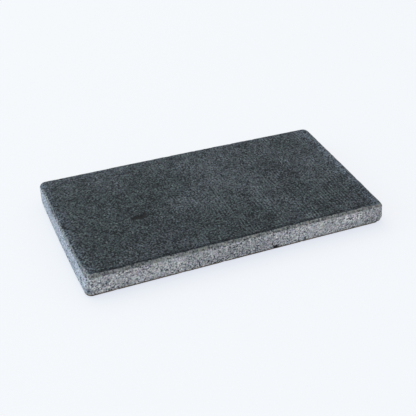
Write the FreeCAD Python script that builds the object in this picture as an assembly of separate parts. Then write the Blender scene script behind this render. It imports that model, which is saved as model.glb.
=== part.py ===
import FreeCAD, Part
import math
import os

# A flat massage stone, cut from one piece of basalt and rounded by hand.
# All sizes are in millimetres.  +X runs along the stone, +Y across it and
# +Z up.  The origin is on the resting face, under the middle of the stone.
# Left and right are the two ends, front and back the two long sides.

# Driving dimensions.
LENGTH = 200.0
WIDTH = 103.0
THICKNESS = 16.0

# The right end was sawn out of square: going up the stone, it falls back by this much.
RIGHT_END_LEAN = 2.5

# Each side is a very flat arc: without its rounded corners, its middle would
# stand out from its ends by this much.
FRONT_BOW = 0.1
RIGHT_BOW = 0.6
BACK_BOW = 0.6
LEFT_BOW = 0.7

# Radius of each upright corner, worn by hand and so never quite the same.
FRONT_LEFT_RADIUS = 4.2
FRONT_RIGHT_RADIUS = 4.0
BACK_RIGHT_RADIUS = 5.0
BACK_LEFT_RADIUS = 4.5

# The rims of the two broad faces: the top has been rubbed down more.
TOP_EDGE_RADIUS = 3.5
RESTING_EDGE_RADIUS = 2.5

# Heights closer than this are taken as the same.
SAME_HEIGHT = 0.01

UP = FreeCAD.Vector(0, 0, 1)
ALONG = FreeCAD.Vector(1, 0, 0)
ACROSS = FreeCAD.Vector(0, 1, 0)


class Side:
    """One side of the stone's plan: an arc of a very large circle."""

    def __init__(self, outward, reach, half_chord, bow, height):
        self.radius = (half_chord**2 + bow**2) / (2 * bow)
        self.crown = outward * reach + UP * height
        self.centre = self.crown - outward * self.radius

    def inner_circle(self, depth):
        """The side's circle, moved inwards by this depth."""
        return Part.Circle(self.centre, UP, self.radius - depth)


def rounded_corner(side, following, radius):
    """A corner's arc: where it leaves one side, its middle, and where it meets the next."""
    near = side.crown + following.crown
    # The arc touches both sides from within, so its centre is its own radius
    # inside each of them; of the two such points, it is the one by the corner.
    crossings = side.inner_circle(radius).intersect(following.inner_circle(radius))
    options = [FreeCAD.Vector(point.X, point.Y, point.Z) for point in crossings]
    centre = min(options, key=near.distanceToPoint)
    leaving = (centre - side.centre).normalize()
    meeting = (centre - following.centre).normalize()
    halfway = (leaving + meeting).normalize()
    return [centre + direction * radius for direction in (leaving, halfway, meeting)]


def plan(height, right_reach):
    """The outline of the stone at this height, as a closed wire."""
    half_length = LENGTH / 2
    half_width = WIDTH / 2
    front = Side(-ACROSS, half_width, half_length, FRONT_BOW, height)
    right = Side(ALONG, right_reach, half_width, RIGHT_BOW, height)
    back = Side(ACROSS, half_width, half_length, BACK_BOW, height)
    left = Side(-ALONG, half_length, half_width, LEFT_BOW, height)
    sides = [front, right, back, left]
    corners = [
        rounded_corner(front, right, FRONT_RIGHT_RADIUS),
        rounded_corner(right, back, BACK_RIGHT_RADIUS),
        rounded_corner(back, left, BACK_LEFT_RADIUS),
        rounded_corner(left, front, FRONT_LEFT_RADIUS),
    ]
    arcs = []
    for place, side in enumerate(sides):
        before, after = corners[place - 1], corners[place]
        arcs.append(Part.Arc(before[-1], side.crown, after[0]))
        arcs.append(Part.Arc(*after))
    return Part.Wire([arc.toShape() for arc in arcs])


def rim(solid, height):
    """Every edge of the solid that lies flat at this height."""
    return [
        edge
        for edge in solid.Edges
        if abs(edge.BoundBox.ZMin - height) < SAME_HEIGHT
        and abs(edge.BoundBox.ZMax - height) < SAME_HEIGHT
    ]


def basalt_slab():
    """The whole stone: a thick plate with rounded corners and rims."""
    # Rounding its rim takes a little off the foot of the leaning end, so the foot
    # starts out longer and the finished stone comes to its full length.
    slope = RIGHT_END_LEAN / THICKNESS
    rounded_off = RESTING_EDGE_RADIUS * (math.hypot(1, slope) + slope - 1)
    foot_reach = LENGTH / 2 + rounded_off
    foot = plan(0, foot_reach)
    top = plan(THICKNESS, foot_reach - RIGHT_END_LEAN)
    stone = Part.makeLoft([foot, top], True, True)
    stone = stone.makeFillet(TOP_EDGE_RADIUS, rim(stone, THICKNESS))
    return stone.makeFillet(RESTING_EDGE_RADIUS, rim(stone, 0))


def export(name, shape):
    """Write one sub-part as a STEP file named after its node."""
    if not shape.isValid():
        raise ValueError(name + " is not a valid solid")
    os.makedirs("parts", exist_ok=True)
    shape.exportStep(os.path.join("parts", name + ".step"))
    print(name, "volume in cubic millimetres:", round(shape.Volume, 1))


export("basalt_slab", basalt_slab())
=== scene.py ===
import math
import random
from collections import namedtuple

import bpy
import numpy as np
from mathutils import Matrix, Vector, noise


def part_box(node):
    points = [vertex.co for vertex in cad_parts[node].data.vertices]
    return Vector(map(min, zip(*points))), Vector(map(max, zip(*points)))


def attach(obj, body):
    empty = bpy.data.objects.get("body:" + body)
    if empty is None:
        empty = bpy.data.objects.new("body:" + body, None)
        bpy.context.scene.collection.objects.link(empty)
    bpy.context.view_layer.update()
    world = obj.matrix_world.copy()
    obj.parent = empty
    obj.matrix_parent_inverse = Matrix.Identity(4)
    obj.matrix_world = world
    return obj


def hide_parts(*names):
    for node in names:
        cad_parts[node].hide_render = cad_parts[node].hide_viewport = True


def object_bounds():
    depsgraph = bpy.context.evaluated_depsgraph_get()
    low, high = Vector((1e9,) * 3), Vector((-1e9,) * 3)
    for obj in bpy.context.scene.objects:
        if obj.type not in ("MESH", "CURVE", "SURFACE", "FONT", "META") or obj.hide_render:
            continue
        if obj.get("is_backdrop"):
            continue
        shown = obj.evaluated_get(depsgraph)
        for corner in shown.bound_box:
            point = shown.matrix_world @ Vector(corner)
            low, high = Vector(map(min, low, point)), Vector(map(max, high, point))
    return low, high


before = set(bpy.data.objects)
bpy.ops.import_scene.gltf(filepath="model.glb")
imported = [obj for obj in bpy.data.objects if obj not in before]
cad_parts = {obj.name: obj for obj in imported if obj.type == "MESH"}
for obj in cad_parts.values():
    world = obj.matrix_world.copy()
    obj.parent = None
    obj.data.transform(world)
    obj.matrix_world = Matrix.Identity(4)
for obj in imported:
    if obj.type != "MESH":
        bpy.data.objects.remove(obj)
CAD_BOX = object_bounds()

# ---------------------------------------------------------------- sizes
# The stone's surface is worked out in millimetres and made into a mesh in
# metres at the end.  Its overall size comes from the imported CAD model.
# Left and right are its two ends, front and back its two long sides.

MM = 0.001
STONE = "basalt_slab"
STONE_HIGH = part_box(STONE)[1]
HALF_LENGTH = STONE_HIGH.x / MM
HALF_WIDTH = STONE_HIGH.y / MM
THICKNESS = STONE_HIGH.z / MM

# The same rounding as the CAD model.  The four upright corners start at the
# front left and go round by the front right, each with the signs of its X and Y
# and its radius.  The sides follow in the same order, between the corners.
CORNERS = [(-1, -1, 4.2), (1, -1, 4.0), (1, 1, 5.0), (-1, 1, 4.5)]
SIDES = ("front", "right", "back", "left")
TOP_RIM = 3.5
RESTING_RIM = 2.5

# How far inside its overall size each side was sawn, at its foot and at its top.
# The three numbers are for one end of the side, its middle and its other end,
# going towards +X on the long sides and towards +Y on the short ones.
FRONT_INSETS = {"foot": (0.2, 0.7, 0.8), "top": (0.1, 0.3, 0.0)}
RIGHT_INSETS = {"foot": (0.0, 0.0, 0.6), "top": (3.2, 2.7, 2.4)}
BACK_INSETS = {"foot": (0.5, 0.0, 0.5), "top": (0.7, 0.0, 0.5)}
LEFT_INSETS = {"foot": (0.6, 0.2, 1.1), "top": (0.9, 0.0, 0.3)}

# Grid cells of the mesh, counted along one long side, one short side and up
# the edge.  The hidden resting face uses every second grid line.
CELLS_LONG = 300
CELLS_SHORT = 156
CELLS_UP = 29
RESTING_STEP = 2
RING = 2 * (CELLS_LONG + CELLS_SHORT)

# The stone fills the CAD model's box except for this much at its sides and top.
CLEARANCE = 0.005


# ---------------------------------------------------------------- outline
# Points along a line: their x, y and outward angle, and their distance along it.
Run = namedtuple("Run", "x y outward along")


def rounded_run(centres, radii, angles, cells):
    """Two arcs joined by a straight line, divided into this many even cells.

    The arcs have the two centres and radii, and turn through the three angles.
    """
    arc_steps = 24
    first, middle, last = angles
    turning = np.concatenate(
        [np.linspace(first, middle, arc_steps), np.linspace(middle, last, arc_steps)]
    )
    centre = np.repeat(np.array(centres, float), arc_steps, axis=0)
    radius = np.repeat(radii, arc_steps)
    x = centre[:, 0] + radius * np.cos(turning)
    y = centre[:, 1] + radius * np.sin(turning)
    travelled = np.concatenate([[0], np.cumsum(np.hypot(np.diff(x), np.diff(y)))])
    along = np.linspace(0, travelled[-1], cells + 1)
    return Run(*(np.interp(along, travelled, values) for values in (x, y, turning)), along)


def plan_outline():
    """The four sides seen from above, each from one corner's middle to the next."""
    eighth = math.radians(45)
    quarter = math.radians(90)
    sides = {}
    for k, side in enumerate(SIDES):
        ends = [CORNERS[k], CORNERS[(k + 1) % len(CORNERS)]]
        centres = [
            (sx * (HALF_LENGTH - radius), sy * (HALF_WIDTH - radius)) for sx, sy, radius in ends
        ]
        radii = [radius for _, _, radius in ends]
        facing = (k - 1) * quarter
        turning = [facing - eighth, facing, facing + eighth]
        cells = CELLS_LONG if side in ("front", "back") else CELLS_SHORT
        sides[side] = rounded_run(centres, radii, turning, cells)
    return sides


def edge_profile():
    """The section of the stone's edge, from the resting face up to the top."""
    quarter = math.radians(90)
    return rounded_run(
        [(-RESTING_RIM, RESTING_RIM), (-TOP_RIM, THICKNESS - TOP_RIM)],
        [RESTING_RIM, TOP_RIM],
        [-quarter, 0, quarter],
        CELLS_UP,
    )


def inset(insets, along, height):
    """How far inside its overall size a side lies.

    Along runs from -1 to 1 between the ends of the side, and height from 0 to 1.
    """
    depth = 0
    for level, share in (("foot", 1 - height), ("top", height)):
        start, middle, end = insets[level]
        curve = middle + (end - start) / 2 * along + ((start + end) / 2 - middle) * along**2
        depth = depth + share * curve
    return depth


def sawn(points):
    """Move the four sides in from the overall size to where they were sawn."""
    x, y, z = points.T
    along, across, height = x / HALF_LENGTH, y / HALF_WIDTH, z / THICKNESS
    ends = np.where(x > 0, inset(RIGHT_INSETS, across, height), inset(LEFT_INSETS, across, height))
    sides = np.where(y < 0, inset(FRONT_INSETS, along, height), inset(BACK_INSETS, along, height))
    return np.column_stack([x - ends * along, y - sides * across, z])


def fitted(points):
    """Stretch the stone slightly so that it just fills the CAD model's box."""
    low, high = points.min(axis=0), points.max(axis=0)
    box_low = np.array([CLEARANCE - HALF_LENGTH, CLEARANCE - HALF_WIDTH, 0])
    box_high = np.array([HALF_LENGTH, HALF_WIDTH, THICKNESS]) - CLEARANCE
    return box_low + (points - low) / (high - low) * (box_high - box_low)


# ---------------------------------------------------------------- grid
# The mesh is one grid for each broad face, with rings of points between them
# around the edge.  A ring starts at the front left corner, like the outline.


def border_place(i, j):
    """Which point of a ring lies at border place i, j of a broad face's grid.

    Place 0, 0 is the front left corner.  i counts along the stone and j across it.
    """
    if j == 0:
        return i
    if i == CELLS_LONG:
        return CELLS_LONG + j
    if j == CELLS_SHORT:
        return CELLS_LONG + CELLS_SHORT + (CELLS_LONG - i)
    return (2 * CELLS_LONG + CELLS_SHORT + (CELLS_SHORT - j)) % RING


def border_index(ring_start):
    """The point number of every border place of a broad face's grid."""
    return {
        (i, j): ring_start + border_place(i, j)
        for i in range(CELLS_LONG + 1)
        for j in range(CELLS_SHORT + 1)
        if i in (0, CELLS_LONG) or j in (0, CELLS_SHORT)
    }


def filled_face(ring_points, step):
    """Inner points of a broad face, blended between the four sides of its rim."""
    corner = {
        (a, b): ring_points[border_place(a * CELLS_LONG, b * CELLS_SHORT)]
        for a in (0, 1)
        for b in (0, 1)
    }
    inner = {}
    for i in range(step, CELLS_LONG, step):
        u = i / CELLS_LONG
        front = ring_points[border_place(i, 0)]
        back = ring_points[border_place(i, CELLS_SHORT)]
        for j in range(step, CELLS_SHORT, step):
            v = j / CELLS_SHORT
            left = ring_points[border_place(0, j)]
            right = ring_points[border_place(CELLS_LONG, j)]
            flat = (1 - v) * ((1 - u) * corner[0, 0] + u * corner[1, 0]) + v * (
                (1 - u) * corner[0, 1] + u * corner[1, 1]
            )
            inner[i, j] = (1 - v) * front + v * back + (1 - u) * left + u * right - flat
    return inner


def cell_loops(index, step):
    """The grid places around each cell of a broad face, in turn."""
    for i in range(0, CELLS_LONG, step):
        for j in range(0, CELLS_SHORT, step):
            loop = [(i + s, j) for s in range(step)]
            loop += [(i + step, j + s) for s in range(step)]
            loop += [(i + step - s, j + step) for s in range(step)]
            loop += [(i, j + step - s) for s in range(step)]
            yield [place for place in loop if place in index]


def edge_rings(sides, profile):
    """Points of the edge, ring above ring, and their outward directions."""
    plan = np.concatenate([np.stack([side.x, side.y], axis=1)[:-1] for side in sides.values()])
    angle = np.concatenate([side.outward[:-1] for side in sides.values()])
    facing = np.stack([np.cos(angle), np.sin(angle)], axis=1)
    points, directions = [], []
    for offset, z, lean in zip(profile.x, profile.y, profile.outward):
        points.append(np.column_stack([plan + offset * facing, np.full(RING, z)]))
        outward = [facing * math.cos(lean), np.full(RING, math.sin(lean))]
        directions.append(np.column_stack(outward))
    return list(np.concatenate(points)), list(np.concatenate(directions))


def edge_faces(sides, climbed):
    """The edge's quads, one side after the other, with their places in the texture layout."""
    faces, places = [], []
    start = 0
    for name, side in sides.items():
        along = side.along
        for n in range(len(along) - 1):
            here, after = start + n, (start + n + 1) % RING
            for m in range(CELLS_UP):
                low, high = m * RING, (m + 1) * RING
                faces.append((low + here, low + after, high + after, high + here))
                u0, u1, v0, v1 = along[n], along[n + 1], climbed[m], climbed[m + 1]
                places.append((name, [(u0, v0), (u1, v0), (u1, v1), (u0, v1)]))
        start += len(along) - 1
    return faces, places


def build_grid():
    """All points of the smooth stone with their outward directions, and its faces.

    Returns points, directions, faces, and one (patch, places) pair per face for
    the texture layout, where places holds each corner's position in its patch.
    """
    sides = plan_outline()
    profile = edge_profile()
    points, directions = edge_rings(sides, profile)
    faces, places = edge_faces(sides, climbed=profile.along)
    for patch, ring_start, step, upward in (
        ("top", CELLS_UP * RING, 1, 1),
        ("resting", 0, RESTING_STEP, -1),
    ):
        index = border_index(ring_start)
        ring_points = points[ring_start : ring_start + RING]
        for place, point in filled_face(ring_points, step).items():
            index[place] = len(points)
            points.append(point)
            directions.append(np.array([0.0, 0.0, upward]))
        for loop in cell_loops(index, step):
            corners = [index[place] for place in loop[::upward]]
            faces.append(tuple(corners))
            places.append((patch, [tuple(points[corner][:2]) for corner in corners]))
    return np.array(points), np.array(directions), faces, places


# ---------------------------------------------------------------- relief
# A layer of soft noise: its depth and the size of its lumps, in millimetres, its
# seed, how many octaves of finer noise it has, and its stretch along X, Y and Z.
Layer = namedtuple("Layer", "depth size seed octaves stretch", defaults=(1, (1.0, 1.0, 1.0)))

# The sides were ground by hand, so they are slightly wavy, with a coarse sawn grain.
SIDE_WAVES = Layer(0.15, 30.0, seed=1)
SIDE_GRAIN = Layer(0.11, 1.3, seed=2, octaves=2)
SIDE_CLUMPS = Layer(0.06, 4.5, seed=3)
# The rims are worn more in some places than in others.
RIM_WEAR = Layer(0.14, 17.0, seed=4)
RIM_NICKS = Layer(0.08, 4.0, seed=5)
RIM_GRAIN = SIDE_GRAIN._replace(depth=0.05)
# The top is honed nearly flat, with faint saw lines across it.
TOP_DISH = Layer(0.05, 60.0, seed=6)
TOP_LINES = Layer(0.012, 1.9, seed=7, stretch=(1.0, 45.0, 1.0))
TOP_GRAIN = Layer(0.015, 1.2, seed=8, octaves=2)
# The outlines of pits and chips are ragged: this one is a share of their size.
RAGGED_OUTLINE = Layer(0.6, 1.1, seed=11, octaves=2)

# How far apart in the noise two layers with neighbouring seeds lie.
NOISE_SHIFT = Vector((7.3, 3.1, 5.7))

# Points whose outward direction has its Z below this rest on the ground, and stay
# smooth.
RESTING_BELOW = -0.99

# A hollow: where it is, its half-size along X, Y and Z, and its depth, in millimetres.
Hollow = namedtuple("Hollow", "place spread depth")

# One natural groove in the left part of the top, deeper towards its ends.
GROOVE = [
    Hollow((-52.6, -9.3, THICKNESS), (4.6, 1.7, 2.0), 0.9),
    Hollow((-50.0, -9.0, THICKNESS), (2.6, 2.3, 2.0), 1.1),
    Hollow((-55.7, -9.0, THICKNESS), (1.8, 1.8, 2.0), 1.0),
    Hollow((-48.2, -7.4, THICKNESS), (1.3, 2.2, 2.0), 0.8),
]
FOOT_NOTCH = Hollow((20.5, -HALF_WIDTH, 2.4), (1.7, 1.6, 1.9), 0.8)
WORN_FOOT_CORNER = Hollow((HALF_LENGTH, -HALF_WIDTH, 0.0), (7.0, 6.0, 5.5), 0.95)

# Random hollows: the seed, how many of each kind, and their half-sizes, from the
# smallest to the largest.  A pit's depth is a share of its half-size.
HOLLOW_SEED = 41
TOP_PITS = 40
TOP_PIT_SIZES = (0.7, 1.2)
TOP_PIT_DEPTH = 0.25
SIDE_PITS = 70
SIDE_PIT_SIZES = (0.6, 1.2)
SIDE_PIT_DEPTH = 0.3
RIM_CHIPS = 70
RIM_CHIP_SIZES = (0.7, 1.7)
# Smallest and largest length and depth of a chip, as shares of its half-size.
RIM_CHIP_LENGTHS = (1.0, 2.5)
RIM_CHIP_DEPTHS = (0.08, 0.25)


def lumps(points, layer):
    """How deep a layer is at each point, about as often raised as sunk."""
    # Each further octave is twice as fine and half as strong.
    falloff = 1.0
    finer = 2.0
    shift = NOISE_SHIFT * layer.seed
    scaled = points / (layer.size * np.array(layer.stretch))
    wave = [noise.fractal(Vector(p) + shift, falloff, finer, layer.octaves) for p in scaled]
    return layer.depth * np.array(wave)


def top_pits(chance):
    """Small natural pits in the top."""
    reach_along = 0.95
    reach_across = 0.92
    narrowest = 0.4
    pits = []
    for _ in range(TOP_PITS):
        x = chance.uniform(-reach_along, reach_along) * HALF_LENGTH
        y = chance.uniform(-reach_across, reach_across) * HALF_WIDTH
        size = chance.uniform(*TOP_PIT_SIZES)
        spread = (size, size * chance.uniform(narrowest, 1.0), size)
        pits.append(Hollow((x, y, THICKNESS), spread, TOP_PIT_DEPTH * size))
    return pits


def around(chance, height, inside):
    """A random place at this height, this far inside a side, and whether it is on an end."""
    reach = 0.97
    on_end = chance.random() < HALF_WIDTH / (HALF_WIDTH + HALF_LENGTH)
    side = chance.choice((-1, 1))
    along = chance.uniform(-reach, reach)
    if on_end:
        return (side * (HALF_LENGTH - inside), along * HALF_WIDTH, height), True
    return (along * HALF_LENGTH, side * (HALF_WIDTH - inside), height), False


def side_pits(chance):
    """Small natural pits in the sides."""
    lowest = 2.0
    highest = THICKNESS - 4.0
    pits = []
    for _ in range(SIDE_PITS):
        place, _ = around(chance, chance.uniform(lowest, highest), 0.0)
        size = chance.uniform(*SIDE_PIT_SIZES)
        pits.append(Hollow(place, (size, size, size), SIDE_PIT_DEPTH * size))
    return pits


def rim_chips(chance):
    """Small chips out of the rims, all round the stone, most of them at the top."""
    share_at_top = 0.85
    top_height = THICKNESS - 0.6
    foot_height = 0.4
    inside = 0.8
    chips = []
    for _ in range(RIM_CHIPS):
        height = top_height if chance.random() < share_at_top else foot_height
        place, on_end = around(chance, height, inside)
        size = chance.uniform(*RIM_CHIP_SIZES)
        length = size * chance.uniform(*RIM_CHIP_LENGTHS)
        depth = size * chance.uniform(*RIM_CHIP_DEPTHS)
        spread = (size, length, size) if on_end else (length, size, size)
        chips.append(Hollow(place, spread, depth))
    return chips


def hollow_depth(points, directions, hollows):
    """How far each point sinks into these pits or chips, in millimetres."""
    steepness = 0.7
    depth = np.zeros(len(points))
    ragged = 1 + lumps(points, RAGGED_OUTLINE)
    for hollow in hollows:
        away = np.linalg.norm((points - hollow.place) / np.array(hollow.spread), axis=1) * ragged
        bowl = np.clip(1 - away**2, 0, None) ** steepness
        depth = np.maximum(depth, hollow.depth * bowl)
    depth[directions[:, 2] < RESTING_BELOW] = 0.0
    return depth


def relief(points, directions):
    """How far each point of the smooth stone sinks inwards, in millimetres."""
    # Shares of side, rim and top in each point, told by how steeply it faces up.
    up = directions[:, 2]
    side = 1 - np.abs(up)
    rim = 4 * np.abs(up) * side
    top = np.clip(up, 0, 1) ** 4

    waves = side * lumps(points, SIDE_WAVES)
    rough = side * (lumps(points, SIDE_GRAIN) + lumps(points, SIDE_CLUMPS))
    worn = rim * (lumps(points, RIM_WEAR) + lumps(points, RIM_NICKS) + lumps(points, RIM_GRAIN))
    honed = top * (lumps(points, TOP_DISH) + lumps(points, TOP_LINES) + lumps(points, TOP_GRAIN))

    # The foot was ground against a flat plate, so it is straighter than the top rim.
    straighter = np.clip(1 + up, 0, 1)
    sunk = waves + straighter * (rough + worn) + honed
    sunk[up < RESTING_BELOW] = 0.0
    return sunk


# ---------------------------------------------------------------- mesh
# Texture layout: every patch of the mesh lies in one square this wide, in
# millimetres of stone, with gaps between them.  The hidden resting face is smaller.
LAYOUT_WIDTH = 221.0
LAYOUT_GAP = 2.5
LAYOUT_STRIP = 21.0
LAYOUT_RESTING_SCALE = 0.35

# Where the surface lies flat, its outward direction leans sideways by less than this.
FLAT_TILT = 0.001


def layout_origins():
    """Where each patch's own zero point goes in the layout, in millimetres, and its scale."""
    face = 2 * HALF_WIDTH
    row = LAYOUT_STRIP + LAYOUT_GAP
    above_top = LAYOUT_GAP + face + LAYOUT_GAP
    small = LAYOUT_RESTING_SCALE
    resting_middle = above_top + 3 * row + HALF_WIDTH * small
    return {
        "top": (HALF_LENGTH + LAYOUT_GAP, HALF_WIDTH + LAYOUT_GAP, 1.0),
        "front": (LAYOUT_GAP, above_top, 1.0),
        "back": (LAYOUT_GAP, above_top + row, 1.0),
        "right": (LAYOUT_GAP, above_top + 2 * row, 1.0),
        "left": (face + 3 * LAYOUT_GAP, above_top + 2 * row, 1.0),
        "resting": (HALF_LENGTH * small + LAYOUT_GAP, resting_middle, small),
    }


def add_layout(mesh, places):
    """Give the mesh its texture layout."""
    origins = layout_origins()
    layer = mesh.uv_layers.new(name="OFBake")
    spots = []
    for patch, corners in places:
        x0, y0, scale = origins[patch]
        for u, v in corners:
            spots += [(x0 + u * scale) / LAYOUT_WIDTH, (y0 + v * scale) / LAYOUT_WIDTH]
    layer.uv.foreach_set("vector", spots)


def add_value(mesh, name, values):
    """Store one number per point for the material to read."""
    layer = mesh.attributes.new(name, "FLOAT", "POINT")
    layer.data.foreach_set("value", np.asarray(values, np.float32))


def rim_inset(points, directions):
    """How far each point lies in from the overall outline, seen from above."""
    x, y = np.abs(points[:, 0]), np.abs(points[:, 1])
    flat = np.minimum(HALF_LENGTH - x, HALF_WIDTH - y)
    tilt = np.hypot(directions[:, 0], directions[:, 1])
    radius = np.where(directions[:, 2] > 0, TOP_RIM, RESTING_RIM)
    return np.where(tilt > FLAT_TILT, radius * (1 - tilt), np.maximum(flat, radius))


def corner_share(directions):
    """1 where the stone faces diagonally, at its upright corners, and 0 on its sides."""
    tilt = np.hypot(directions[:, 0], directions[:, 1])
    diagonal = 2 * np.abs(directions[:, 0] * directions[:, 1])
    return np.where(tilt > FLAT_TILT, diagonal / np.maximum(tilt, FLAT_TILT) ** 2, 0)


def make_stone():
    """The whole stone as one closed mesh, without its material."""
    points, directions, faces, places = build_grid()
    chance = random.Random(HOLLOW_SEED)
    pits = GROOVE + [FOOT_NOTCH] + top_pits(chance) + side_pits(chance)
    chips = [WORN_FOOT_CORNER] + rim_chips(chance)
    pitted = hollow_depth(points, directions, pits)
    chipped = hollow_depth(points, directions, chips)
    sunk = relief(points, directions) + pitted + chipped
    moved = fitted(sawn(points - directions * sunk[:, None]))
    mesh = bpy.data.meshes.new("massage_stone")
    mesh.from_pydata((moved * MM).tolist(), [], faces)
    mesh.validate()
    mesh.shade_smooth()
    add_layout(mesh, places)
    add_value(mesh, "inset", rim_inset(points, directions))
    add_value(mesh, "corner", corner_share(directions))
    add_value(mesh, "pit", pitted)
    stone = bpy.data.objects.new("massage_stone", mesh)
    bpy.context.scene.collection.objects.link(stone)
    return stone


# ---------------------------------------------------------------- shader nodes
# A noise pattern: the size of its lumps in millimetres, its seed, how much finer
# noise is mixed in and how roughly, and its stretch along X, Y and Z.
Pattern = namedtuple("Pattern", "size seed detail rough stretch", defaults=(1.0, 0.5, (1, 1, 1)))

# A soft mark on the stone: where it is, its half-size along X, Y and Z in
# millimetres, and how much lighter or, if negative, darker it is.
Mark = namedtuple("Mark", "place spread change")


def node(tree, kind, inputs=None, **settings):
    """Add a shader node, set its options, and set or link its inputs."""
    made = tree.nodes.new("ShaderNode" + kind)
    for name, value in settings.items():
        setattr(made, name, value)
    for name, value in (inputs or {}).items():
        if isinstance(value, bpy.types.NodeSocket):
            tree.links.new(value, made.inputs[name])
        else:
            made.inputs[name].default_value = value
    return made


def calc(tree, operation, *values):
    """Join values with one kind of maths, from left to right, or change a single one."""
    result = values[0]
    if len(values) == 1:
        return node(tree, "Math", {0: result}, operation=operation).outputs[0]
    for value in values[1:]:
        result = node(tree, "Math", {0: result, 1: value}, operation=operation).outputs[0]
    return result


def band(tree, value, low, high, to_low=0.0, to_high=1.0):
    """Take a value from the range low..high to to_low..to_high, smoothly."""
    inputs = {"Value": value, "From Min": low, "From Max": high, "To Min": to_low, "To Max": to_high}
    return node(tree, "MapRange", inputs, interpolation_type="SMOOTHSTEP").outputs["Result"]


def near_edge(tree, value, edge, start, full, strength=1.0):
    """Grow from 0 to this strength near an edge, from start to full millimetres in from it."""
    inwards = -math.copysign(1.0, edge)
    return band(tree, value, edge + inwards * start, edge + inwards * full, 0.0, strength)


def mix(tree, factor, a, b, blend="MIX"):
    """Blend two colours."""
    # The node's sockets 6 and 7 are its two colours.
    inputs = {0: factor, 6: a, 7: b}
    return node(tree, "Mix", inputs, data_type="RGBA", blend_type=blend).outputs[2]


def between(tree, factor, a, b):
    """Blend two numbers."""
    # The node's sockets 2 and 3 are its two numbers.
    return node(tree, "Mix", {0: factor, 2: a, 3: b}, data_type="FLOAT").outputs[0]


def vector(tree, operation, *values):
    """Do one kind of maths on vectors or colours."""
    return node(tree, "VectorMath", dict(enumerate(values)), operation=operation).outputs[0]


def axes(tree, place):
    """How far along the stone, across it and above its foot a place is."""
    return node(tree, "SeparateXYZ", {0: place}).outputs[:3]


def attribute(tree, name):
    """A number stored in the mesh."""
    return node(tree, "Attribute", attribute_name=name).outputs["Fac"]


def noise_start(seed):
    """Where in its endless noise a pattern with this seed starts."""
    return (seed, seed * 2, seed * 3)


def grain(tree, place, pattern):
    """Soft noise, from 0 to 1."""
    scale = [1 / (pattern.size * s) for s in pattern.stretch]
    inputs = {"Vector": place, "Scale": scale, "Location": noise_start(pattern.seed)}
    moved = node(tree, "Mapping", inputs).outputs[0]
    inputs = {"Vector": moved, "Scale": 1.0, "Detail": pattern.detail, "Roughness": pattern.rough}
    return node(tree, "TexNoise", inputs, noise_dimensions="3D").outputs[0]


def crystals(tree, place, pattern):
    """A random colour, each channel from 0 to 1, for each crystal of the pattern's size."""
    inputs = {"Vector": place, "Location": noise_start(pattern.seed)}
    moved = node(tree, "Mapping", inputs).outputs[0]
    return node(tree, "TexVoronoi", {"Vector": moved, "Scale": 1 / pattern.size}).outputs["Color"]


def ripples(tree, place, pitch, wander):
    """Parallel lines across the stone, this far apart, that wander a little sideways."""
    waves_per_unit = 10 / math.pi
    inputs = {
        "Vector": place,
        "Scale": 1 / (pitch * waves_per_unit),
        "Distortion": wander * math.tau / pitch,
        "Detail": 1.0,
        "Detail Scale": 0.6,
    }
    return node(tree, "TexWave", inputs, bands_direction="X").outputs["Fac"]


def spot(tree, place, centre, spread):
    """A soft-edged patch of the stone: 1 in its core and 0 outside it."""
    core = 0.2
    away = vector(tree, "DIVIDE", vector(tree, "SUBTRACT", place, centre), spread)
    distance = node(tree, "VectorMath", {0: away}, operation="LENGTH").outputs["Value"]
    return band(tree, distance, 1.0, core)


def swing(tree, pattern, amount):
    """Turn a pattern from 0 to 1 into a value from -amount to amount."""
    return calc(tree, "MULTIPLY", calc(tree, "SUBTRACT", pattern, 0.5), 2 * amount)


def shade(tree, colour, change):
    """Make a colour lighter or darker: a change of -0.2 darkens it by a fifth."""
    factor = vector(tree, "MULTIPLY_ADD", change, GRAIN_TONE, (1.0, 1.0, 1.0))
    factor = vector(tree, "MAXIMUM", factor, (DARKEST_SHADE, DARKEST_SHADE, DARKEST_SHADE))
    return mix(tree, 1.0, colour, factor, "MULTIPLY")


def rgb(r, g, b):
    """An opaque colour."""
    return (r, g, b, 1.0)


# ---------------------------------------------------------------- basalt
HONED_DULL = rgb(0.0290, 0.0355, 0.0362)
HONED_PALE = rgb(0.0348, 0.0402, 0.0432)
# Painted reflection of the bright sky on the top's margins.
HONED_SKY_SHEEN = rgb(0.0580, 0.0680, 0.0790)
SAWN = rgb(0.290, 0.294, 0.303)
RUBBED = rgb(0.137, 0.139, 0.134)
# Brown at the front foot: partly a stain, partly painted contact shade.
STAIN_AND_SHADE = rgb(0.086, 0.060, 0.036)
# Painted shade: the near-black colour of the pits and the groove.
PIT_SHADE = rgb(0.0125, 0.0125, 0.0125)

# Lighter and darker grains differ a little less in blue than in red.
GRAIN_TONE = (1.05, 1.0, 0.94)
# The share of a colour that the darkest grains keep.
DARKEST_SHADE = 0.15
# Each channel of a crystal's colour is raised or lowered by up to this share.
TINT = 0.07

FINE_GRAIN = Pattern(1.15, seed=1.7, detail=1.5, rough=0.6)
CRYSTALS = Pattern(0.8, seed=4.1)
CRYSTAL_HUES = Pattern(1.1, seed=7.7)
BLOTCHES = Pattern(3.2, seed=9.1)
VEINS = Pattern(5.0, seed=12.7, stretch=(1.6, 1, 1))
VEINED_PARTS = Pattern(5.5, seed=10.4)
SPECKLED_PARTS = Pattern(5.0, seed=8.3, detail=0.0)
MOTTLE = Pattern(6.0, seed=2.3)
LINED_PARTS = Pattern(13.0, seed=5.3, stretch=(1, 1.6, 1))
CLOUD = Pattern(40.0, seed=6.2, detail=3.0)

# How strongly the speckle shows on the honed faces and in the foot's brown stain with
# painted contact shade, compared with the sides.
HONED_SPECKLE = 1.9
STAIN_AND_SHADE_SPECKLE = 1.2

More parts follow.
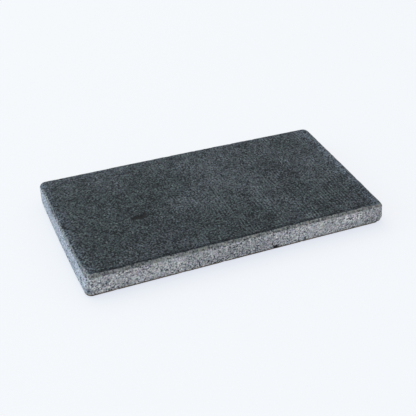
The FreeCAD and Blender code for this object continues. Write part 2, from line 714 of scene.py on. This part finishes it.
# Saw lines on the top: the distance between them, how far each strays sideways,
# from where to where along the stone they come in, and the place, with its
# half-size, where they show best.
SAW_PITCH = 2.2
SAW_WANDER = 1.2
SAW_LINED_FROM_TO = (-60.0, 0.0)
SAW_LINED_SPOT = ((70.0, -33.0, THICKNESS), (17.0, 18.0, 9.0))

# Where each kind of surface starts and where it is full, in millimetres in from
# the stone's outline.  The dark line has a start and an end of its own.
RUBBED_FROM_TO = (0.08, 0.55)
HONED_FROM_TO = (1.5, 2.15)
LINE_START = (1.5, 2.3)
LINE_END = (4.2, 2.9)
# The heights at which the foot's brown stain and painted contact shade is gone and is full.
STAIN_AND_SHADE_HEIGHTS = (3.0, 1.7)
# Depths at which a hollow starts to get its painted shade and at which it is fully painted.
PIT_DEPTHS = (0.1, 0.35)
# The front left corner of the top is rubbed further in: its place and half-size,
# and how much further.
WORN_TOP_CORNER = ((3.0 - HALF_LENGTH, 3.0 - HALF_WIDTH, THICKNESS), (9.0, 9.0, 9.0))
WORN_TOP_DEPTH = 1.1
# How much of the honed faces' wobbly border the rubbed rims and the stain with painted contact shade
# follow.
RIM_WOBBLE = 0.3
STAIN_AND_SHADE_WOBBLE = 0.4

# How rough each surface is, how strong its bumps are, the depth of the bumps, and
# how much the crystals add to them.
SAWN_ROUGHNESS = 0.88
HONED_ROUGHNESS = (0.55, 0.75)
SAWN_BUMP = 0.8
HONED_BUMP = 0.35
BUMP_DEPTH = 0.25 * MM
CRYSTAL_BUMPS = 0.35
BASALT_IOR = 1.5
BASALT_GLOSS = 0.12

# Marks of its own on the stone: broad, paler and darker areas, then small spots.
TOP_MARKS = [
    Mark((-45.0, -25.0, THICKNESS), (35.0, 40.0, 4.0), -0.25),
    Mark((10.0, 10.0, THICKNESS), (40.0, 40.0, 4.0), 0.18),
    Mark((50.0, 2.0, THICKNESS), (20.0, 25.0, 4.0), -0.32),
    Mark((80.0, -32.0, THICKNESS), (25.0, 30.0, 4.0), -0.25),
    Mark((-43.0, -8.0, THICKNESS), (4.0, 13.0, 4.0), -0.2),
    Mark((81.0, 5.0, THICKNESS), (2.0, 3.0, 4.0), -0.5),
    Mark((27.0, -18.0, THICKNESS), (3.0, 2.0, 4.0), -0.4),
    Mark((18.0, -46.0, THICKNESS), (3.5, 2.0, 4.0), -0.4),
    Mark((60.0, -43.0, THICKNESS), (4.5, 3.0, 4.0), -0.4),
]
FRONT_MARKS = [
    Mark((-20.0, -HALF_WIDTH, 8.0), (44.0, 20.0, 60.0), -0.12),
    Mark((-50.0, -HALF_WIDTH, 9.0), (14.0, 20.0, 12.0), 0.14),
    Mark((54.0, -HALF_WIDTH, 9.0), (26.0, 20.0, 12.0), 0.14),
    Mark((93.0, -HALF_WIDTH, 8.0), (16.0, 20.0, 16.0), -0.12),
    Mark((69.5, -HALF_WIDTH, 12.0), (1.5, 4.0, 5.0), 0.7),
    Mark((20.0, -HALF_WIDTH, 11.5), (2.0, 4.0, 4.0), 0.5),
    Mark((86.0, -HALF_WIDTH, 4.5), (2.2, 4.0, 2.4), -0.5),
]

# The patterns that several surfaces share, and the surfaces' shares of each place.
Patterns = namedtuple("Patterns", "fine crystal hue mottle cloud speckle")
Zones = namedtuple("Zones", "rubbed stained honed dark_line pitted")


def shared_patterns(tree, place):
    """The patterns that run through the whole stone."""
    fine = grain(tree, place, FINE_GRAIN)
    crystal = node(tree, "SeparateColor", {0: crystals(tree, place, CRYSTALS)}).outputs[0]
    speckle = calc(tree, "ADD", swing(tree, fine, amount=1.8), swing(tree, crystal, amount=0.36))
    speckled = grain(tree, place, SPECKLED_PARTS)
    strength = band(tree, speckled, low=0.3, high=0.7, to_low=0.8, to_high=1.35)
    return Patterns(
        fine=fine,
        crystal=crystal,
        hue=crystals(tree, place, CRYSTAL_HUES),
        mottle=grain(tree, place, MOTTLE),
        cloud=grain(tree, place, CLOUD),
        speckle=calc(tree, "MULTIPLY", speckle, strength),
    )


def add_marks(tree, place, change, marks):
    """Add every mark's lighter or darker spot to a change of shade."""
    for mark in marks:
        patch = spot(tree, place, mark.place, mark.spread)
        change = calc(tree, "ADD", change, calc(tree, "MULTIPLY", patch, mark.change))
    return change


def painted_sky_sheen(tree, place):
    """How strongly the top's margins get the paler, bluer painted reflection of the sky: widest at
    the right end.
    """
    along, across, _ = axes(tree, place)
    broad = near_edge(tree, along, HALF_LENGTH, start=19.0, full=9.0, strength=0.3)
    weaker_in_front = band(tree, across, low=6.0 - HALF_WIDTH, high=6.0, to_low=0.25)
    broad = calc(tree, "MULTIPLY", broad, weaker_in_front)
    right = near_edge(tree, along, HALF_LENGTH, start=13.0, full=7.0, strength=0.85)
    left = near_edge(tree, along, -HALF_LENGTH, start=10.0, full=3.0, strength=0.35)
    back = near_edge(tree, across, HALF_WIDTH, start=9.0, full=3.0, strength=0.22)
    return calc(tree, "MAXIMUM", broad, right, left, back)


def saw_lines(tree, place):
    """Faint, patchy lines across the top, which fade out in its left part."""
    along = axes(tree, place)[0]
    crests = band(tree, ripples(tree, place, SAW_PITCH, SAW_WANDER), low=0.6, high=1.0, to_high=1.2)
    patchy = band(tree, grain(tree, place, LINED_PARTS), low=0.47, high=0.64, to_high=0.8)
    lined = calc(tree, "MULTIPLY", patchy, band(tree, along, *SAW_LINED_FROM_TO))
    lined = calc(tree, "MAXIMUM", lined, spot(tree, place, *SAW_LINED_SPOT))
    return calc(tree, "MULTIPLY", crests, lined)


def dark_veins(tree, place):
    """Hair-thin dark veins, each only a few millimetres long."""
    # A vein runs wherever the noise crosses its middle value.
    level = calc(tree, "SUBTRACT", grain(tree, place, VEINS), 0.5)
    away = calc(tree, "ABSOLUTE", level)
    veins = band(tree, away, low=0.005, high=0.028, to_low=-0.55, to_high=0.0)
    veined = band(tree, grain(tree, place, VEINED_PARTS), low=0.5, high=0.6)
    return calc(tree, "MULTIPLY", veins, veined)


def honed_colour(tree, place, patterns):
    """The dark, ground broad faces, with faint saw lines running across them, painted sky reflection
    on their margins, and painted light: lighter towards the right end, darker towards the front.
    """
    along, across, _ = axes(tree, place)
    # Painted light: the top lighter towards its right end.
    lit_towards_right = band(
        tree, along, low=-HALF_LENGTH, high=HALF_LENGTH / 2, to_low=-0.08, to_high=0.04
    )
    paler = band(tree, calc(tree, "ADD", patterns.cloud, lit_towards_right), low=0.38, high=0.62)
    colour = mix(tree, paler, HONED_DULL, HONED_PALE)
    # Painted reflection: the top's margins paler and bluer, mirroring the sky.
    colour = mix(tree, painted_sky_sheen(tree, place), colour, HONED_SKY_SHEEN)

    blotches = grain(tree, place, BLOTCHES)
    lines_and_veins = calc(tree, "ADD", saw_lines(tree, place), dark_veins(tree, place))
    change = calc(
        tree,
        "ADD",
        calc(tree, "MULTIPLY", patterns.speckle, HONED_SPECKLE),
        lines_and_veins,
        swing(tree, patterns.mottle, amount=0.6),
        swing(tree, patterns.cloud, amount=0.4),
        swing(tree, blotches, amount=0.35),
        band(tree, blotches, low=0.28, high=0.42, to_low=-0.5, to_high=0.0),
        # Painted shade: the top darker towards its front edge.
        band(tree, across, low=-HALF_WIDTH, high=0.0, to_low=-0.09, to_high=0.0),
    )
    return shade(tree, colour, add_marks(tree, place, change, TOP_MARKS))


def sawn_colour(tree, place, patterns):
    """The pale, rough sides, with painted shade that darkens them towards the foot."""
    height = axes(tree, place)[2]
    change = calc(
        tree,
        "ADD",
        patterns.speckle,
        swing(tree, patterns.mottle, amount=0.35),
        swing(tree, patterns.cloud, amount=0.25),
        # Painted shade: the sides darker towards the foot.
        band(tree, height, low=0.0, high=9.0, to_low=-0.2, to_high=0.0),
    )
    return shade(tree, SAWN, add_marks(tree, place, change, FRONT_MARKS))


def rubbed_colour(tree, patterns):
    """The darker rims and upright corners, rubbed down by hand."""
    change = calc(tree, "ADD", patterns.speckle, swing(tree, patterns.mottle, amount=0.5))
    return shade(tree, RUBBED, change)


def stain_and_shade_colour(tree, patterns):
    """A thin brown stain that is partly dirt and partly painted contact shade, with the grain of the
    stone showing through.
    """
    return shade(tree, STAIN_AND_SHADE, calc(tree, "MULTIPLY", patterns.speckle, STAIN_AND_SHADE_SPECKLE))


def border_wobble(tree, patterns):
    """How far the borders between the surfaces stray, in millimetres."""
    broad = swing(tree, patterns.mottle, amount=0.6)
    return calc(tree, "ADD", broad, swing(tree, patterns.fine, amount=0.4))


def rubbed_zone(tree, inset_here, wobble):
    """The rubbed rims and, less strongly, the upright corners."""
    rim = calc(tree, "ADD", inset_here, calc(tree, "MULTIPLY", wobble, RIM_WOBBLE))
    upright_corner = band(tree, attribute(tree, "corner"), low=0.65, high=1.0, to_high=0.5)
    return calc(tree, "MAXIMUM", band(tree, rim, *RUBBED_FROM_TO), upright_corner)


def honed_inset(tree, place, inset_here, wobble):
    """How far in from the rim a place counts as, where the honed face starts.

    The honed face reaches further out at the back and the left, and less far at
    the front left corner.
    """
    along, across, _ = axes(tree, place)
    at_back = near_edge(tree, across, HALF_WIDTH, start=12.0, full=4.0, strength=0.9)
    at_left = near_edge(tree, along, -HALF_LENGTH, start=12.0, full=4.0, strength=0.35)
    further_out = calc(tree, "ADD", at_back, at_left)
    worn_back = calc(tree, "MULTIPLY", spot(tree, place, *WORN_TOP_CORNER), WORN_TOP_DEPTH)
    inwards = calc(tree, "ADD", inset_here, wobble, further_out)
    return calc(tree, "SUBTRACT", inwards, worn_back)


def dark_line(tree, place, inwards):
    """A thin dark line just inside the honed face's edge, fainter near the right end."""
    along = axes(tree, place)[0]
    depth = band(
        tree, along, low=HALF_LENGTH - 20.0, high=HALF_LENGTH / 3, to_low=-0.2, to_high=-0.5
    )
    start = band(tree, inwards, *LINE_START)
    end = band(tree, inwards, *LINE_END)
    return calc(tree, "MULTIPLY", start, end, depth)


def foot_stain_and_shade(tree, place, wobble):
    """How strongly the foot has its brown stain and painted contact shade."""
    height = axes(tree, place)[2]
    wavy = calc(tree, "ADD", height, calc(tree, "MULTIPLY", wobble, STAIN_AND_SHADE_WOBBLE))
    return band(tree, wavy, *STAIN_AND_SHADE_HEIGHTS, to_high=0.95)


def surface_zones(tree, place, patterns):
    """Where each kind of surface lies: from the side in over the rim, then the top."""
    across = axes(tree, place)[1]
    in_front = near_edge(tree, across, -HALF_WIDTH, start=6.0, full=4.0)
    inset_here = attribute(tree, "inset")
    wobble = border_wobble(tree, patterns)
    inwards = honed_inset(tree, place, inset_here, wobble)
    return Zones(
        rubbed=rubbed_zone(tree, inset_here, wobble),
        # Only in front: the foot's stain and painted contact shade.
        stained=calc(tree, "MULTIPLY", foot_stain_and_shade(tree, place, wobble), in_front),
        honed=band(tree, inwards, *HONED_FROM_TO),
        dark_line=calc(tree, "MULTIPLY", dark_line(tree, place, inwards), in_front),
        # Painted shade: hollows coloured near black by their depth.
        pitted=band(tree, attribute(tree, "pit"), *PIT_DEPTHS),
    )


def basalt_colour(tree, place, patterns, zones):
    """The colour of the whole stone."""
    sawn_side = sawn_colour(tree, place, patterns)
    colour = mix(tree, zones.rubbed, sawn_side, rubbed_colour(tree, patterns))
    # The front foot's brown stain, partly painted contact shade.
    colour = mix(tree, zones.stained, colour, stain_and_shade_colour(tree, patterns))
    colour = mix(tree, zones.honed, colour, honed_colour(tree, place, patterns))
    colour = shade(tree, colour, zones.dark_line)
    tint = vector(tree, "MULTIPLY_ADD", patterns.hue, [2 * TINT] * 3, [1 - TINT] * 3)
    colour = mix(tree, 1.0, colour, tint, "MULTIPLY")
    # Painted shade: the pits and the groove near black.
    return mix(tree, zones.pitted, colour, PIT_SHADE)


def empty_material(name):
    """A new material, and its node tree with nothing in it."""
    material = bpy.data.materials.new(name)
    material.use_nodes = True
    material.node_tree.nodes.clear()
    return material, material.node_tree


def basalt():
    """Basalt: dark and honed on the broad faces, pale and rough on the sides."""
    material, tree = empty_material("basalt")
    metres = node(tree, "TexCoord").outputs["Object"]
    place = node(tree, "VectorMath", {0: metres, "Scale": 1 / MM}, operation="SCALE").outputs[0]
    patterns = shared_patterns(tree, place)
    zones = surface_zones(tree, place, patterns)
    smoothest, roughest = HONED_ROUGHNESS
    honed_roughness = band(
        tree, patterns.fine, low=0.3, high=0.7, to_low=smoothest, to_high=roughest
    )
    crystal_bumps = calc(tree, "MULTIPLY", patterns.crystal, CRYSTAL_BUMPS)
    bump = {
        "Strength": between(tree, zones.honed, SAWN_BUMP, HONED_BUMP),
        "Distance": BUMP_DEPTH,
        "Height": calc(tree, "ADD", patterns.fine, crystal_bumps),
    }
    surface = {
        "Base Color": basalt_colour(tree, place, patterns, zones),
        "Roughness": between(tree, zones.honed, SAWN_ROUGHNESS, honed_roughness),
        "Normal": node(tree, "Bump", bump).outputs[0],
        "IOR": BASALT_IOR,
        "Specular IOR Level": BASALT_GLOSS,
    }
    shader = node(tree, "BsdfPrincipled", surface).outputs[0]
    node(tree, "OutputMaterial", {"Surface": shader})
    return material


# ---------------------------------------------------------------- stage
# The floor is a pale, softly glowing square, this far from its middle to its
# sides in metres.
FLOOR_HALF = 6.0
FLOOR_MATT = rgb(0.22, 0.19, 0.127)
FLOOR_GLOW = rgb(0.634, 0.680, 0.783)
SKY = rgb(0.90, 0.94, 0.97)

# Large square lamps that face the stone: place and size in metres, and power in watts.
Lamp = namedtuple("Lamp", "place size power colour")
LAMPS = {
    "left_window": Lamp((-2.6, 0.4, 1.0), 2.4, 56.0, (0.33, 0.63, 1.0)),
    "back_window": Lamp((-0.8, 1.6, 3.0), 3.0, 50.0, (1.0, 1.0, 1.0)),
}

# The camera: turned about the stone, lifted and rolled a little, in degrees, then
# set back and moved right and up, in millimetres.
CAMERA_AZIMUTH = -25.45
CAMERA_ELEVATION = 35.77
CAMERA_ROLL = 2.54
CAMERA_BACK = 531.4
CAMERA_RIGHT = -1.74
CAMERA_UP = 2.41
# Its lens and sensor, and how near it sees in metres.
LENS = 70.74
SENSOR = 36.0
NEAREST = 0.01


def pale_surface():
    """The pale, softly glowing surface that the stone lies on."""
    material, tree = empty_material("pale_surface")
    matt = node(tree, "BsdfDiffuse", {"Color": FLOOR_MATT}).outputs[0]
    glow = node(tree, "Emission", {"Color": FLOOR_GLOW, "Strength": 1.0}).outputs[0]
    both = node(tree, "AddShader", {0: matt, 1: glow}).outputs[0]
    node(tree, "OutputMaterial", {"Surface": both})
    return material


def make_floor():
    """The floor, as one flat square."""
    half = FLOOR_HALF
    mesh = bpy.data.meshes.new("floor")
    corners = [(-half, -half, 0), (half, -half, 0), (half, half, 0), (-half, half, 0)]
    mesh.from_pydata(corners, [], [(0, 1, 2, 3)])
    mesh.materials.append(pale_surface())
    floor = bpy.data.objects.new("floor", mesh)
    bpy.context.scene.collection.objects.link(floor)
    floor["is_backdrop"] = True


def make_sky():
    """Even, pale light from all around."""
    world = bpy.data.worlds.new("studio")
    world.use_nodes = True
    background = world.node_tree.nodes["Background"]
    background.inputs["Color"].default_value = SKY
    background.inputs["Strength"].default_value = 1.0
    bpy.context.scene.world = world


def make_lamp(name, lamp):
    """A large square lamp that faces the stone."""
    data = bpy.data.lights.new(name, "AREA")
    data.shape = "SQUARE"
    data.size = lamp.size
    data.energy = lamp.power
    data.color = lamp.colour
    made = bpy.data.objects.new(name, data)
    made.location = lamp.place
    made.rotation_euler = (-Vector(lamp.place)).to_track_quat("-Z", "Y").to_euler()
    bpy.context.scene.collection.objects.link(made)


def camera_placement():
    """The camera's place and the way it is turned, as one matrix."""
    azimuth = math.radians(CAMERA_AZIMUTH)
    elevation = math.radians(CAMERA_ELEVATION)
    roll = math.radians(CAMERA_ROLL)
    back = Vector(
        (
            math.sin(azimuth) * math.cos(elevation),
            -math.cos(azimuth) * math.cos(elevation),
            math.sin(elevation),
        )
    )
    level_right = Vector((0, 0, 1)).cross(back).normalized()
    level_up = back.cross(level_right)
    right = math.cos(roll) * level_right + math.sin(roll) * level_up
    up = math.cos(roll) * level_up - math.sin(roll) * level_right
    place = CAMERA_RIGHT * MM * right + CAMERA_UP * MM * up + CAMERA_BACK * MM * back
    turned = Matrix((right, up, back)).transposed().to_4x4()
    return Matrix.Translation(place) @ turned


def make_camera():
    """The camera that the scene is seen through."""
    data = bpy.data.cameras.new("camera")
    data.sensor_width = SENSOR
    data.lens = LENS
    data.clip_start = NEAREST
    camera = bpy.data.objects.new("camera", data)
    camera.matrix_world = camera_placement()
    bpy.context.scene.collection.objects.link(camera)
    bpy.context.scene.camera = camera


# ---------------------------------------------------------------- build
make_camera()
make_floor()
make_sky()
for lamp_name, lamp in LAMPS.items():
    make_lamp(lamp_name, lamp)
bpy.context.scene.view_settings.view_transform = "Standard"

stone = make_stone()
stone.data.materials.append(basalt())
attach(stone, "root")
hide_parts(STONE)

[[list(corner) for corner in box] for box in (CAD_BOX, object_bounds())]
